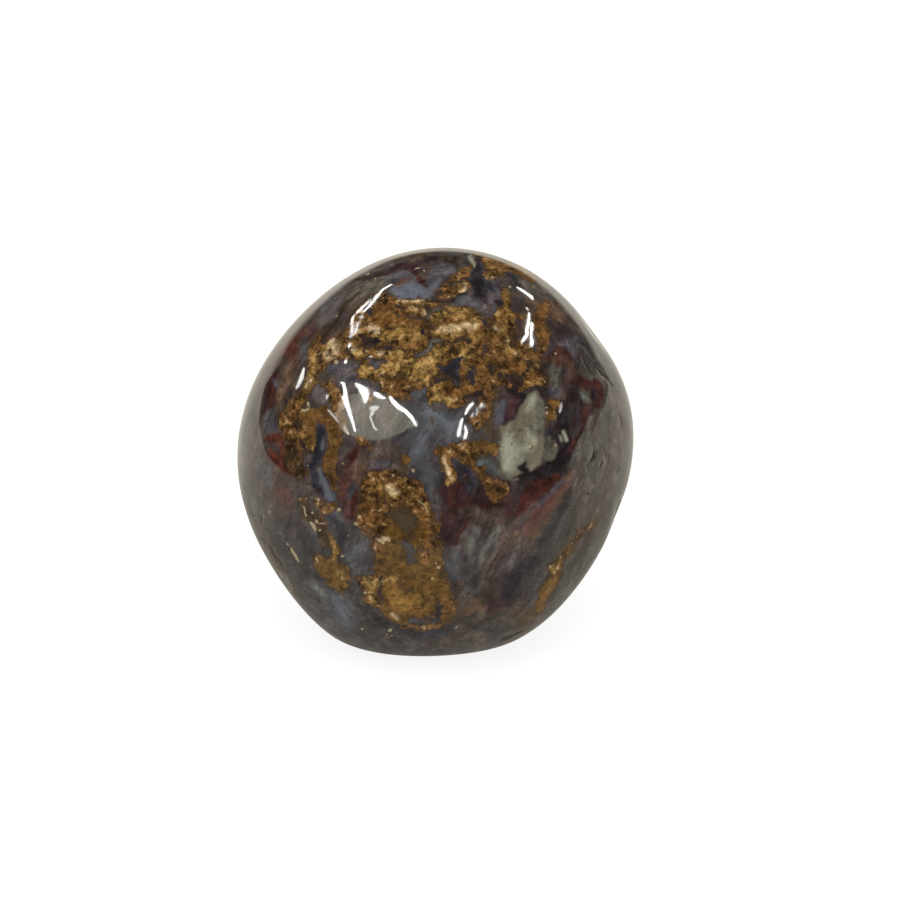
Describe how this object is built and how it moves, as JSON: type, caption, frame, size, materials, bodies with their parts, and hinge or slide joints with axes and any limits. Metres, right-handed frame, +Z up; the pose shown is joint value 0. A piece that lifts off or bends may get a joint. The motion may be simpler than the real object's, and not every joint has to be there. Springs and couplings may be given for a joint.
{
  "type": "tumbled pietersite stone",
  "caption": "Polished tumbled pietersite, a rounded pebble of blue-grey, gold, red and brown broken bands, that rests on a small flat spot.",
  "frame": {"origin": "middle of the stone's outline seen from above, at the level of the flat spot that it rests on", "axes": "+Z up; -Y to the viewer, where the broad face looks, leaned back by 27 degrees; +X to the viewer's right"},
  "size_m": [0.0296, 0.0256, 0.0278],
  "materials": {
    "stone": "polished"
  },
  "bodies": {
    "root": {"stone": "stone"}
  },
  "joints": []
}
